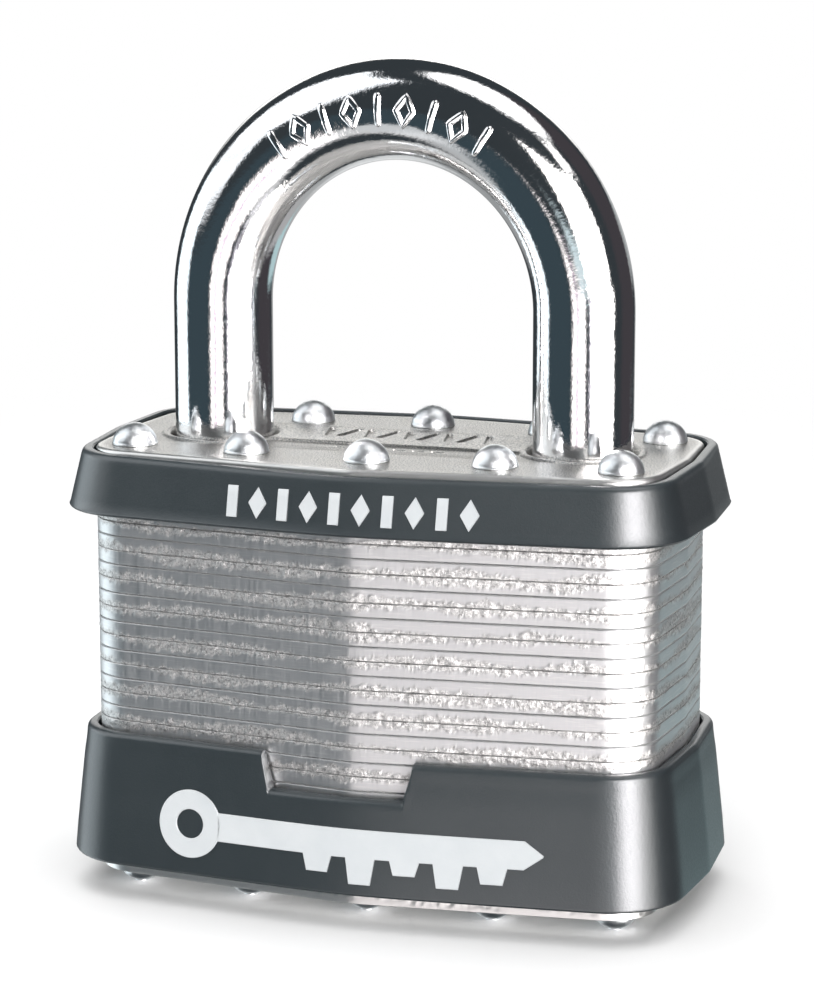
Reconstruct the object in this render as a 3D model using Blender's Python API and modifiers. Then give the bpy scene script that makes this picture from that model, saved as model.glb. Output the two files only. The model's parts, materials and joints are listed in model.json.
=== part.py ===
"""Laminated steel padlock, closed and unlocked.

X runs to the right, the front faces -Y, and Z = 0 is the tips of the lower rivet heads. Lengths are in
millimetres here and become metres at MM. A depth is measured down from the top face of the plate stack.
The heel leg (+X) stays in the body when the shackle lifts, and the toe leg (-X) comes out.
"""

from math import acos, asin, atan2, cos, degrees, pi, radians, sin, sqrt

import bmesh
import bpy
from mathutils import Matrix, Vector

MM = 0.001

# Plate stack
BODY_WIDTH = 50.8
BODY_DEPTH = 27.2
FRONT_RIDGE = 2.7
SIDE_RIDGE = 0.9
CORNER_RADIUS = 4.4
CORNER_STEPS = 4
PLATE_COUNT = 30
PLATE_PITCH = 1.24
PLATE_GAP = 0.05
PLATE = PLATE_PITCH - PLATE_GAP
UPPER_BLOCK = (1, 3)
LOWER_BLOCK = (23, 27)
LEVER_PLATES = (4, 5)
PIVOT_PLATE = 6
KEYHOLE_PLATE = 7
CAVITY_TOP_PLATE = 8

# Rivets
RIVET_PLACES = ((-21.45, 7.6), (-10.95, 8.35), (0.0, 9.1), (10.95, 8.35), (21.45, 7.6))
RIVET_RADIUS = 1.4
RIVET_HOLE = 1.45
RIVET_HEAD = 1.95
UPPER_DOME = 1.8
LOWER_DOME = 1.7
DOME_FLAT = 0.6
RIVET_SIDES = 8

STACK_BOTTOM = LOWER_DOME
STACK_TOP = STACK_BOTTOM + PLATE_COUNT * PLATE_PITCH - PLATE_GAP

# Shackle
BAR_RADIUS = 4.28
LEG_X = 16.17
ARCH_START = 11.76
ARCH_HEIGHT = 16.75
ARCH_STEPS = 18
LEG_HOLE = 4.7
TOE_DEPTH = 10.6
NECK_RADIUS = 2.9
NECK_TOP = 8.6
NECK_BOTTOM = 22.9
HEEL_DEPTH = 26.5
NOTCH_TOP = 4.9
NOTCH_BOTTOM = 7.6
NOTCH_FLOOR = 13.65
SHOULDER = 0.02
TIP_CHAMFER = 0.8
SPRING_TOP = 26.8
SPRING_BOTTOM = 34.6
SHACKLE_COIL = (3.5, 0.4, 5)  # mean radius, wire radius, turns

# Locking levers and cam
POCKET_HALF_X = 13.0
POCKET_HALF_Y = 6.1
LEVER_TOP = 5.15
LEVER = 2.1
PIVOT = (7.5, -3.9)
PIVOT_RADIUS = 0.9
PIVOT_HOLE = 1.05
BOSS_RADIUS = 1.9
NOSE_X = 11.6
TAIL_X = 0.5
TAIL_Y = (-4.7, -3.1)
LEVER_HEEL = ((9.4, -2.6), (NOSE_X, -1.0), (NOSE_X, 3.0), (10.1, 4.0), (9.6, 5.7))
LEVER_BACK = ((7.4, 5.7), (7.4, 2.0), (8.0, 0.5), (6.4, -2.3), (5.6, TAIL_Y[1]))
LEVER_SPRING_Y = 4.6
LEVER_SPRING_LENGTH = 14.2
LEVER_COIL = (0.85, 0.15, 8)
STEM_HOLE = 1.9
STEM_RADIUS = 1.5
CAM_HUB = 1.3
CAM_REACH = 2.75
CAM_HALF_WIDTH = 0.85
CAM_DEPTHS = (5.25, 7.15)
KEYHOLE_X = 8.3
KEYHOLE_SLOT = 3.2

# Pin-tumbler cylinder
PLUG_RADIUS = 5.0
PLUG_SIDES = 20
PLUG_DEPTHS = (10.3, 37.0)
GROOVE_RADIUS = 4.4
GROOVE_DEPTHS = (10.95, 11.65)
CLIP_RADII = (4.55, 5.9)
CLIP_DEPTHS = (11.0, 11.6)
CLIP_GAP_ANGLE = 70.0
SHELL_RADIUS = 6.4
SHELL_BORE = 5.1
SHELL_DEPTHS = (11.9, 35.8)
BIBLE_X = -13.4
BIBLE_HALF = 3.3
CAVITY_RADIUS = 6.6
CAVITY_X = -14.6
CAVITY_HALF = 3.5
KEYWAY_HALF = 1.0
KEYWAY_Y = (-3.4, 3.9)
KEYWAY_TOP = 12.8
TANG = (1.2, 5.2, 0.9)
TANG_SLOT = (1.6, 5.8, 1.1)
TANG_STEP = 0.25
PIN_DEPTHS = (17.0, 21.0, 25.0, 29.0)
KEY_PIN_LENGTHS = (2.6, 3.4, 2.2, 3.0)
DRIVER_LENGTH = 3.2
PIN_RADIUS = 1.25
CHAMBER_RADIUS = 1.35
PIN_SIDES = 10
PIN_COIL = (1.0, 0.15, 4)
COVER_X = (-14.35, -13.65)
COVER_HALF = 2.6
COVER_END = 2.4

# Plastic bumpers: offset of the outer wall from the plates at each depth
BUMPER_CLEARANCE = 0.25
UPPER_BUMPER = ((0.4, 1.2), (5.3, 2.4))
LOWER_BUMPER = ((24.45, 1.15), (26.4, 1.4), (35.8, 2.45))
NOTCH_X = (-7.7, 5.6)
NOTCH_SLANT = 0.9
NOTCH_DEPTH = 3.2

COLOURS = {
    "zinc": ((0.72, 0.72, 0.69), 0.38, 1.0),
    "steel": ((0.66, 0.67, 0.66), 0.42, 1.0),
    "rivet_steel": ((0.74, 0.75, 0.75), 0.3, 1.0),
    "chrome": ((0.86, 0.87, 0.88), 0.08, 1.0),
    "bumper_plastic": ((0.045, 0.055, 0.06), 0.42, 0.0),
    "spring_steel": ((0.5, 0.5, 0.5), 0.35, 1.0),
    "brass": ((0.78, 0.6, 0.3), 0.3, 1.0),
}


# ---------------------------------------------------------------- outlines

def arc(centre, radius, start, end, steps):
    """Points from the start angle to the end angle, in degrees."""
    turn = radians(end - start) / steps
    angles = [radians(start) + turn * i for i in range(steps + 1)]
    return [(centre[0] + radius * cos(a), centre[1] + radius * sin(a)) for a in angles]


def hole(centre, radius, sides):
    """A polygon whose flats touch the circle from outside."""
    return arc(centre, radius / cos(pi / sides), 180 / sides, 360 + 180 / sides, sides)[:-1]


def disc(centre, radius, sides):
    """A polygon whose corners lie on the circle."""
    return arc(centre, radius, 0, 360, sides)[:-1]


def body_outline(offset=0.0):
    """A plate's rounded outline. The front, back and sides each rise to a low ridge in the middle."""
    half_x = BODY_WIDTH / 2 + offset
    half_y = BODY_DEPTH / 2 + offset
    radius = CORNER_RADIUS + offset
    front_lean = atan2(FRONT_RIDGE, BODY_WIDTH / 2)
    side_lean = atan2(SIDE_RIDGE, BODY_DEPTH / 2)
    front = Vector((sin(front_lean), cos(front_lean)))
    side = Vector((cos(side_lean), sin(side_lean)))
    reach_front = half_y * front.y - radius
    reach_side = half_x * side.x - radius
    cross = side.x * front.y - side.y * front.x
    centre_x = (reach_side * front.y - reach_front * side.y) / cross
    centre_y = (reach_front * side.x - reach_side * front.x) / cross
    corner = arc((centre_x, centre_y), radius, degrees(side_lean), 90 - degrees(front_lean), CORNER_STEPS)
    quarter = [(half_x, 0)] + corner
    back = quarter + [(0, half_y)] + [(-x, y) for x, y in reversed(quarter)]
    return back + [(-x, -y) for x, y in back[1:-1]]


def leg_hole(side):
    return hole((side * LEG_X, 0), LEG_HOLE, 12)


def lever_pocket():
    """The levers' pocket, open at both ends into the leg holes."""
    reach = LEG_X - POCKET_HALF_X
    half_angle = degrees(acos(reach / LEG_HOLE))
    right = arc((LEG_X, 0), LEG_HOLE, half_angle - 180, 180 - half_angle, 10)
    left = arc((-LEG_X, 0), LEG_HOLE, half_angle, 360 - half_angle, 10)
    upper = [(POCKET_HALF_X, POCKET_HALF_Y), (-POCKET_HALF_X, POCKET_HALF_Y)]
    lower = [(-POCKET_HALF_X, -POCKET_HALF_Y), (POCKET_HALF_X, -POCKET_HALF_Y)]
    return right + upper + left + lower


def heel_keyhole():
    """A round opening that passes the heel's head, and a slot that only passes its neck."""
    side_angle = degrees(asin(KEYHOLE_SLOT / LEG_HOLE))
    opening = arc((KEYHOLE_X, 0), LEG_HOLE, side_angle, 360 - side_angle, 10)
    return opening + arc((LEG_X, 0), KEYHOLE_SLOT, -90, 90, 6)


def cylinder_outline(radius, half_width, end_x):
    """A round barrel with a straight-sided block for the pins on -X."""
    join = 180 - degrees(asin(half_width / radius))
    return arc((0, 0), radius, -join, join, 14) + [(end_x, half_width), (end_x, -half_width)]


def plate_openings(index):
    """The openings in one plate, besides its rivet holes. Index 0 is the top plate."""
    stem = hole((0, 0), STEM_HOLE, 8)
    heel_bore = hole((LEG_X, 0), LEG_HOLE, 12)
    if index < LEVER_PLATES[0]:
        return [leg_hole(-1), leg_hole(1)]
    if index in LEVER_PLATES:
        return [lever_pocket()]
    if index == PIVOT_PLATE:
        pivots = [hole((side * PIVOT[0], PIVOT[1]), PIVOT_HOLE, 8) for side in (-1, 1)]
        return [leg_hole(-1), leg_hole(1), stem] + pivots
    if index == KEYHOLE_PLATE:
        return [leg_hole(-1), stem, heel_keyhole()]
    if index == CAVITY_TOP_PLATE:
        return [leg_hole(-1), hole((0, 0), CAVITY_RADIUS, 12), heel_bore]
    cavity = cylinder_outline(CAVITY_RADIUS, CAVITY_HALF, CAVITY_X)
    if index <= LOWER_BLOCK[1]:
        return [cavity, heel_bore]
    if index < PLATE_COUNT - 1:
        return [cavity]
    return [hole((0, 0), PLUG_RADIUS + 0.3, 16)]


# ---------------------------------------------------------------- solids

def height(depth):
    return STACK_TOP - depth


def material(name):
    found = bpy.data.materials.get(name)
    if found:
        return found
    colour, roughness, metallic = COLOURS[name]
    made = bpy.data.materials.new(name)
    made.use_nodes = True
    shader = made.node_tree.nodes["Principled BSDF"]
    shader.inputs["Base Color"].default_value = (*colour, 1.0)
    shader.inputs["Roughness"].default_value = roughness
    shader.inputs["Metallic"].default_value = metallic
    made.diffuse_color = (*colour, 1.0)
    return made


def place(name, mesh, finish, origin=(0, 0, 0), smooth=None):
    """Make a mesh whose points are in world millimetres an object with its origin at a point."""
    mesh.transform(Matrix.Scale(MM, 4) @ Matrix.Translation(-Vector(origin)))
    mesh.materials.clear()
    mesh.materials.append(material(finish))
    if smooth:
        mesh.shade_smooth()
        mesh.set_sharp_from_angle(angle=radians(smooth))
    node = bpy.data.objects.new(name, mesh)
    node.location = Vector(origin) * MM
    PARTS.objects.link(node)
    return node


def mesh_from_curve(curve):
    """Turn a curve into a closed mesh, in millimetres, and remove the curve."""
    guide = bpy.data.objects.new("guide", curve)
    bpy.context.scene.collection.objects.link(guide)
    graph = bpy.context.evaluated_depsgraph_get()
    mesh = bpy.data.meshes.new_from_object(guide.evaluated_get(graph))
    bpy.data.objects.remove(guide)
    shape = bmesh.new()
    shape.from_mesh(mesh)
    bmesh.ops.remove_doubles(shape, verts=shape.verts, dist=0.0005)
    bmesh.ops.recalc_face_normals(shape, faces=shape.faces)
    shape.to_mesh(mesh)
    shape.free()
    return mesh


def add_spline(curve, points, closed, radii=None):
    spline = curve.splines.new("POLY")
    spline.points.add(len(points) - 1)
    for i, point in enumerate(points):
        spline.points[i].co = (*point, 1.0) if len(point) == 3 else (*point, 0.0, 1.0)
        spline.points[i].radius = radii[i] if radii else 1.0
    spline.use_cyclic_u = closed


def slab_mesh(loops, top, bottom):
    """A flat outline, with any holes as further loops, between two depths."""
    curve = bpy.data.curves.new("outline", "CURVE")
    curve.dimensions = "2D"
    curve.fill_mode = "BOTH"
    curve.extrude = (bottom - top) / 2
    for loop in loops:
        add_spline(curve, loop, True)
    mesh = mesh_from_curve(curve)
    mesh.transform(Matrix.Translation((0, 0, height((top + bottom) / 2))))
    return mesh


def wire_mesh(points, radius, sides, radii=None):
    """A round wire along a route. The number of sides is even, and at least four."""
    curve = bpy.data.curves.new("wire", "CURVE")
    curve.dimensions = "3D"
    curve.bevel_depth = radius
    curve.bevel_resolution = (sides - 4) // 2
    curve.use_fill_caps = True
    add_spline(curve, points, False, radii)
    return mesh_from_curve(curve)


def skirt_mesh(profile):
    """A ring round the plates, whose section is a list of offset and depth pairs."""
    section = bpy.data.curves.new("section", "CURVE")
    section.dimensions = "2D"
    add_spline(section, [(-offset, -depth) for offset, depth in profile], True)
    section_guide = bpy.data.objects.new("section", section)
    bpy.context.scene.collection.objects.link(section_guide)
    curve = bpy.data.curves.new("skirt", "CURVE")
    curve.dimensions = "2D"
    curve.fill_mode = "NONE"
    curve.bevel_mode = "OBJECT"
    curve.bevel_object = section_guide
    add_spline(curve, body_outline(), True)
    mesh = mesh_from_curve(curve)
    bpy.data.objects.remove(section_guide)
    mesh.transform(Matrix.Translation((0, 0, STACK_TOP)))
    return mesh


def turned_mesh(profile, sides, x=0.0, y=0.0):
    """A profile of radius and height pairs, turned round a vertical axis. Radius 0 closes the ends."""
    curve = bpy.data.meshes.new("profile")
    edges = [(i, i + 1) for i in range(len(profile) - 1)]
    curve.from_pydata([(radius, 0, z) for radius, z in profile], edges, [])
    guide = bpy.data.objects.new("guide", curve)
    bpy.context.scene.collection.objects.link(guide)
    screw = guide.modifiers.new("turn", "SCREW")
    screw.steps = screw.render_steps = sides
    screw.use_merge_vertices = True
    screw.merge_threshold = 0.0001
    graph = bpy.context.evaluated_depsgraph_get()
    mesh = bpy.data.meshes.new_from_object(guide.evaluated_get(graph))
    bpy.data.objects.remove(guide)
    shape = bmesh.new()
    shape.from_mesh(mesh)
    bmesh.ops.remove_doubles(shape, verts=shape.verts, dist=0.0005)
    bmesh.ops.recalc_face_normals(shape, faces=shape.faces)
    shape.to_mesh(mesh)
    shape.free()
    mesh.transform(Matrix.Translation((x, y, 0)))
    return mesh


def rod_mesh(start, end, radius, sides):
    """A straight round rod between two points."""
    axis = Vector(end) - Vector(start)
    ends = {"radius1": radius, "radius2": radius, "depth": axis.length}
    shape = bmesh.new()
    bmesh.ops.create_cone(shape, cap_ends=True, segments=sides, **ends)
    mesh = bpy.data.meshes.new("rod")
    shape.to_mesh(mesh)
    shape.free()
    turn = axis.to_track_quat("Z", "Y").to_matrix().to_4x4()
    mesh.transform(Matrix.Translation((Vector(start) + Vector(end)) / 2) @ turn)
    return mesh


def box_mesh(low, high):
    shape = bmesh.new()
    bmesh.ops.create_cube(shape, size=1.0)
    mesh = bpy.data.meshes.new("box")
    shape.to_mesh(mesh)
    shape.free()
    size = [end - start for start, end in zip(low, high)]
    middle = [(end + start) / 2 for start, end in zip(low, high)]
    mesh.transform(Matrix.Translation(middle) @ Matrix.Diagonal((*size, 1.0)))
    return mesh


def combine(node, operation, tools):
    """Cut tools from a placed node, or join them to it, with the tools' points in world millimetres."""
    for i, mesh in enumerate(tools):
        mesh.transform(Matrix.Scale(MM, 4))
        tool = bpy.data.objects.new(f"{node.name}_tool_{i}", mesh)
        tool.hide_render = True
        tool.display_type = "WIRE"
        CUTTERS.objects.link(tool)
        modifier = node.modifiers.new(f"{operation.lower()}_{i}", "BOOLEAN")
        modifier.operation = operation
        modifier.solver = "EXACT"
        modifier.object = tool


# ---------------------------------------------------------------- the sub-parts

def make_plate(name, first, last):
    rivet_holes = [hole((x, side * y), RIVET_HOLE, 6) for x, y in RIVET_PLACES for side in (-1, 1)]
    loops = [body_outline()] + rivet_holes
    top = first * PLATE_PITCH
    bottom = last * PLATE_PITCH + PLATE
    mesh = slab_mesh(loops + plate_openings(first), top, bottom)
    finish = "zinc" if first in (0, PLATE_COUNT - 1) else "steel"
    place(name, mesh, finish, (0, 0, height(bottom)))


def make_plates():
    make_plate("top_plate", 0, 0)
    make_plate("plates_02_to_04", *UPPER_BLOCK)
    for index in range(UPPER_BLOCK[1] + 1, LOWER_BLOCK[0]):
        make_plate(f"plate_{index + 1:02d}", index, index)
    make_plate("plates_24_to_28", *LOWER_BLOCK)
    make_plate("plate_29", PLATE_COUNT - 2, PLATE_COUNT - 2)
    make_plate("bottom_plate", PLATE_COUNT - 1, PLATE_COUNT - 1)


def dome_profile(seat, rise):
    """Radius and height pairs of a rivet head, from its rim to its flat tip. A negative rise points down."""
    tip = asin(DOME_FLAT / RIVET_HEAD)
    angles = [(pi / 2 - tip) * i / 3 for i in range(4)]
    scale = rise / sin(angles[-1])
    return [(RIVET_HEAD * cos(a), seat + scale * sin(a)) for a in angles] + [(0, seat + rise)]


def make_rivets():
    upper_seat = STACK_TOP + PLATE_GAP
    lower_seat = STACK_BOTTOM - PLATE_GAP
    upper = dome_profile(upper_seat, UPPER_DOME)
    lower = dome_profile(lower_seat, -(LOWER_DOME - PLATE_GAP))
    shank = [(RIVET_RADIUS, upper_seat), (RIVET_RADIUS, lower_seat)]
    profile = list(reversed(upper)) + shank + lower
    for row, side in (("front", -1), ("back", 1)):
        for i, (x, y) in enumerate(RIVET_PLACES):
            mesh = turned_mesh(profile, RIVET_SIDES, x, side * y)
            place(f"rivet_{row}_{i + 1}", mesh, "rivet_steel", (x, side * y, 0), smooth=50)


def make_bumper(name, walls):
    top = walls[0][0]
    bottom = walls[-1][0]
    outer = [(offset, depth) for depth, offset in walls]
    inner = [(BUMPER_CLEARANCE, bottom), (BUMPER_CLEARANCE, top)]
    mesh = skirt_mesh(outer + inner)
    return place(name, mesh, "bumper_plastic", smooth=30)


def make_bumpers():
    make_bumper("upper_bumper", UPPER_BUMPER)
    lower = make_bumper("lower_bumper", LOWER_BUMPER)
    top = LOWER_BUMPER[0][0] - 1
    floor = LOWER_BUMPER[0][0] + NOTCH_DEPTH
    slant = NOTCH_SLANT * (floor - top) / NOTCH_DEPTH
    left, right = NOTCH_X
    middle = (left + right) / 2
    half_floor = (right - left) / 2 - NOTCH_SLANT
    ends = ((half_floor + slant, height(top)), (half_floor, height(floor)))
    shape = bmesh.new()
    bmesh.ops.create_cube(shape, size=1.0)
    for vertex in shape.verts:
        half, z = ends[0] if vertex.co.z > 0 else ends[1]
        y = -BODY_DEPTH / 2 + FRONT_RIDGE if vertex.co.y > 0 else -BODY_DEPTH
        vertex.co = (middle + (half if vertex.co.x > 0 else -half), y, z)
    mesh = bpy.data.meshes.new("notch")
    shape.to_mesh(mesh)
    shape.free()
    combine(lower, "DIFFERENCE", [mesh])


def shackle_route():
    """The bar's centre line, toe tip to heel, and its radius at each point as a share of the bar's."""
    neck = NECK_RADIUS / BAR_RADIUS
    tip = (BAR_RADIUS - TIP_CHAMFER) / BAR_RADIUS
    spring_line = STACK_TOP + ARCH_START
    route = [(-LEG_X, height(TOE_DEPTH), tip), (-LEG_X, height(TOE_DEPTH - TIP_CHAMFER), 1.0)]
    for i in range(ARCH_STEPS + 1):
        angle = pi - pi * i / ARCH_STEPS
        route.append((LEG_X * cos(angle), spring_line + ARCH_HEIGHT * sin(angle), 1.0))
    route += [
        (LEG_X, height(NECK_TOP), 1.0),
        (LEG_X, height(NECK_TOP + SHOULDER), neck),
        (LEG_X, height(NECK_BOTTOM - SHOULDER), neck),
        (LEG_X, height(NECK_BOTTOM), 1.0),
        (LEG_X, height(HEEL_DEPTH), 1.0),
    ]
    return [(x, 0, z) for x, z, _ in route], [radius for _, _, radius in route]


def make_shackle():
    points, radii = shackle_route()
    mesh = wire_mesh(points, BAR_RADIUS, 16, radii)
    shackle = place("shackle", mesh, "chrome", (0, 0, STACK_TOP), smooth=40)
    notches = []
    for side in (-1, 1):
        ends = sorted((side * (LEG_X - BAR_RADIUS - 1), side * NOTCH_FLOOR))
        low = (ends[0], -BAR_RADIUS - 1, height(NOTCH_BOTTOM))
        high = (ends[1], BAR_RADIUS + 1, height(NOTCH_TOP))
        notches.append(box_mesh(low, high))
    combine(shackle, "DIFFERENCE", notches)


def coil_mesh(centre, axis, length, coil, steps, sides):
    """A coil spring along X or Z, centred on a point. Its wire lies within the given length."""
    radius, wire, turns = coil
    points = []
    for i in range(turns * steps + 1):
        angle = 2 * pi * i / steps
        along = (length - 2 * wire) * (i / (turns * steps) - 0.5)
        across = (radius * cos(angle), radius * sin(angle))
        offset = (*across, along) if axis == "Z" else (along, *across)
        points.append([c + o for c, o in zip(centre, offset)])
    return wire_mesh(points, wire, sides)


def make_shackle_spring():
    top, bottom = height(SPRING_TOP), height(SPRING_BOTTOM)
    mesh = coil_mesh((LEG_X, 0, (top + bottom) / 2), "Z", top - bottom, SHACKLE_COIL, 10, 6)
    place("shackle_spring", mesh, "spring_steel", (LEG_X, 0, bottom), smooth=60)


def lever_outline(side):
    """The lever on the right, with its tail towards the cam and its nose towards the leg, or its mirror."""
    tail = [(TAIL_X, TAIL_Y[1]), (TAIL_X, TAIL_Y[0])]
    right = tail + arc(PIVOT, BOSS_RADIUS, 204, 360, 7) + list(LEVER_HEEL + LEVER_BACK)
    return [(side * x, y) for x, y in right]


def make_levers():
    for side, word in ((-1, "left"), (1, "right")):
        centre = (side * PIVOT[0], PIVOT[1])
        loops = [lever_outline(side), hole(centre, PIVOT_HOLE, 8)]
        mesh = slab_mesh(loops, LEVER_TOP, LEVER_TOP + LEVER)
        place(f"lever_{word}", mesh, "steel", (*centre, height(LEVER_TOP + LEVER)))
        top = LEVER_PLATES[0] * PLATE_PITCH + PLATE_GAP
        bottom = PIVOT_PLATE * PLATE_PITCH + PLATE - PLATE_GAP
        pin = slab_mesh([disc(centre, PIVOT_RADIUS, 8)], top, bottom)
        place(f"lever_pivot_pin_{word}", pin, "steel", (*centre, height(bottom)), smooth=50)


def make_lever_spring():
    centre = (0, LEVER_SPRING_Y, height(LEVER_TOP + LEVER / 2))
    mesh = coil_mesh(centre, "X", LEVER_SPRING_LENGTH, LEVER_COIL, 8, 4)
    place("lever_spring", mesh, "spring_steel", centre, smooth=60)


def make_cam():
    """A finger on a hub, a stem down through the plates, and a tang in the plug's slot."""
    join = degrees(asin(CAM_HALF_WIDTH / CAM_HUB))
    finger_centre = (0, CAM_HALF_WIDTH - CAM_REACH)
    outline = arc((0, 0), CAM_HUB, join - 90, 270 - join, 10)
    outline += arc(finger_centre, CAM_HALF_WIDTH, 180, 360, 6)
    top, bottom = CAM_DEPTHS
    plug_top = PLUG_DEPTHS[0]
    cam = place("cam", slab_mesh([outline], top, bottom), "steel", (0, 0, height(bottom)))
    stem = slab_mesh([disc((0, 0), STEM_RADIUS, 12)], (top + bottom) / 2, plug_top - PLATE_GAP)
    half_x, half_y = TANG[0] / 2, TANG[1] / 2
    low = (-half_x, -half_y, height(plug_top + TANG[2]))
    high = (half_x, half_y, height(plug_top - TANG_STEP))
    combine(cam, "UNION", [stem, box_mesh(low, high)])


def make_plug():
    top, bottom = (height(d) for d in PLUG_DEPTHS)
    groove_top, groove_bottom = (height(d) for d in GROOVE_DEPTHS)
    profile = [
        (0, top),
        (PLUG_RADIUS, top),
        (PLUG_RADIUS, groove_top),
        (GROOVE_RADIUS, groove_top),
        (GROOVE_RADIUS, groove_bottom),
        (PLUG_RADIUS, groove_bottom),
        (PLUG_RADIUS, bottom),
        (0, bottom),
    ]
    barrel = turned_mesh(profile, PLUG_SIDES)
    barrel.transform(Matrix.Rotation(pi / PLUG_SIDES, 4, "Z"))
    plug = place("plug", barrel, "brass", (0, 0, bottom), smooth=40)
    low = (-KEYWAY_HALF, KEYWAY_Y[0], bottom - 1)
    keyway = box_mesh(low, (KEYWAY_HALF, KEYWAY_Y[1], height(KEYWAY_TOP)))
    half_x, half_y = TANG_SLOT[0] / 2, TANG_SLOT[1] / 2
    slot = box_mesh((-half_x, -half_y, top - TANG_SLOT[2]), (half_x, half_y, top + 1))
    chambers = []
    for depth in PIN_DEPTHS:
        z = height(depth)
        chambers.append(rod_mesh((0, -PLUG_RADIUS - 1, z), (0, -0.4, z), CHAMBER_RADIUS, PIN_SIDES))
    combine(plug, "DIFFERENCE", [keyway, slot] + chambers)


def make_clip():
    gap = CLIP_GAP_ANGLE / 2
    inner, outer = CLIP_RADII
    outline = arc((0, 0), outer, gap, 360 - gap, 14) + arc((0, 0), inner, 360 - gap, gap, 14)
    mesh = slab_mesh([outline], *CLIP_DEPTHS)
    place("plug_clip", mesh, "spring_steel", (0, 0, height(CLIP_DEPTHS[1])))


def make_shell():
    loops = [cylinder_outline(SHELL_RADIUS, BIBLE_HALF, BIBLE_X), hole((0, 0), SHELL_BORE, PLUG_SIDES)]
    mesh = slab_mesh(loops, *SHELL_DEPTHS)
    shell = place("cylinder_shell", mesh, "zinc", (0, 0, height(SHELL_DEPTHS[1])))
    chambers = []
    for depth in PIN_DEPTHS:
        z = height(depth)
        chambers.append(rod_mesh((BIBLE_X - 1, 0, z), (-SHELL_BORE + 1, 0, z), CHAMBER_RADIUS, PIN_SIDES))
    combine(shell, "DIFFERENCE", chambers)


def make_pins():
    """Key pins lie in the turned plug, facing the front. Driver pins wait in the shell, on -X."""
    shear = sqrt(PLUG_RADIUS**2 - PIN_RADIUS**2)
    driver_x = -(SHELL_BORE + 0.1)
    spring_x = driver_x - DRIVER_LENGTH - 0.2
    for i, depth in enumerate(PIN_DEPTHS):
        z = height(depth)
        outer = (0, -shear, z)
        inner = (0, -shear + KEY_PIN_LENGTHS[i], z)
        place(f"key_pin_{i + 1}", rod_mesh(outer, inner, PIN_RADIUS, PIN_SIDES), "brass", outer, smooth=50)
        inner = (driver_x, 0, z)
        outer = (driver_x - DRIVER_LENGTH, 0, z)
        place(f"driver_pin_{i + 1}", rod_mesh(inner, outer, PIN_RADIUS, PIN_SIDES), "brass", inner, smooth=50)
        centre = ((spring_x + BIBLE_X) / 2, 0, z)
        mesh = coil_mesh(centre, "X", spring_x - BIBLE_X, PIN_COIL, 8, 4)
        place(f"pin_spring_{i + 1}", mesh, "spring_steel", centre, smooth=60)
    low = (COVER_X[0], -COVER_HALF, height(PIN_DEPTHS[-1] + COVER_END))
    high = (COVER_X[1], COVER_HALF, height(PIN_DEPTHS[0] - COVER_END))
    place("pin_cover", box_mesh(low, high), "brass", (BIBLE_X, 0, height(PIN_DEPTHS[-1])))


def new_collection(name):
    made = bpy.data.collections.new(name)
    bpy.context.scene.collection.children.link(made)
    return made


for old in list(bpy.data.objects):
    bpy.data.objects.remove(old)

PARTS = new_collection("laminated_padlock")
CUTTERS = new_collection("cutters")

make_plates()
make_rivets()
make_bumpers()
make_shackle()
make_shackle_spring()
make_levers()
make_lever_spring()
make_cam()
make_plug()
make_clip()
make_shell()
make_pins()
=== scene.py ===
"""The looks of a laminated padlock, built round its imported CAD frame.

Lengths are in millimetres here and become metres at MM. A depth is measured down from the top face of the
plate stack. X runs to the right, and the front faces -Y.
"""

import json
from math import acos, atan2, cos, degrees, pi, radians, sin, tan

import bpy
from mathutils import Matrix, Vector, noise
from mathutils.geometry import tessellate_polygon


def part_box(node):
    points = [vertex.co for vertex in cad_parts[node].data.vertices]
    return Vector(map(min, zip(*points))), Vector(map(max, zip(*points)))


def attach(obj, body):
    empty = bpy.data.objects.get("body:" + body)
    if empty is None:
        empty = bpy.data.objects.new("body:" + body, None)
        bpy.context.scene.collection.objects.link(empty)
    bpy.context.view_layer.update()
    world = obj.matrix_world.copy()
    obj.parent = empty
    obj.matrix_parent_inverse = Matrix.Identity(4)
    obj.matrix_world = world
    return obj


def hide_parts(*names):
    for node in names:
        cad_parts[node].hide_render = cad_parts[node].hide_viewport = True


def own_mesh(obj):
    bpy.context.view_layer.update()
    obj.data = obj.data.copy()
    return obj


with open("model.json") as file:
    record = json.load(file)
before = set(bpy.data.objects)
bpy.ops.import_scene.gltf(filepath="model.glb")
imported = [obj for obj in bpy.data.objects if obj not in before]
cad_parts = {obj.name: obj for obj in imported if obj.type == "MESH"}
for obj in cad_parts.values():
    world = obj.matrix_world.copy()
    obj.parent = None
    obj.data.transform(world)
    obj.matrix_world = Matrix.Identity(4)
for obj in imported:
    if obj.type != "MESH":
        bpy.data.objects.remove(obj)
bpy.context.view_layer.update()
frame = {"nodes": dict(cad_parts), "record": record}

MM = 0.001


def size(node):
    """The lowest and highest corner of a CAD node, in millimetres."""
    low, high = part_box(node)
    return low / MM, high / MM


# The stack of plates, as the CAD has it
TOP_HIGH = size("top_plate")[1]
STACK_TOP = TOP_HIGH.z
HALF_WIDTH = TOP_HIGH.x
HALF_DEPTH = TOP_HIGH.y
FRONT_RIDGE = 2.7
SIDE_RIDGE = 0.9
CORNER_RADIUS = 4.4
FRONT_LEAN = atan2(FRONT_RIDGE, HALF_WIDTH)
SIDE_LEAN = atan2(SIDE_RIDGE, HALF_DEPTH)
VISIBLE_PLATES = [f"plate_{number:02d}" for number in range(5, 24)]

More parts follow.
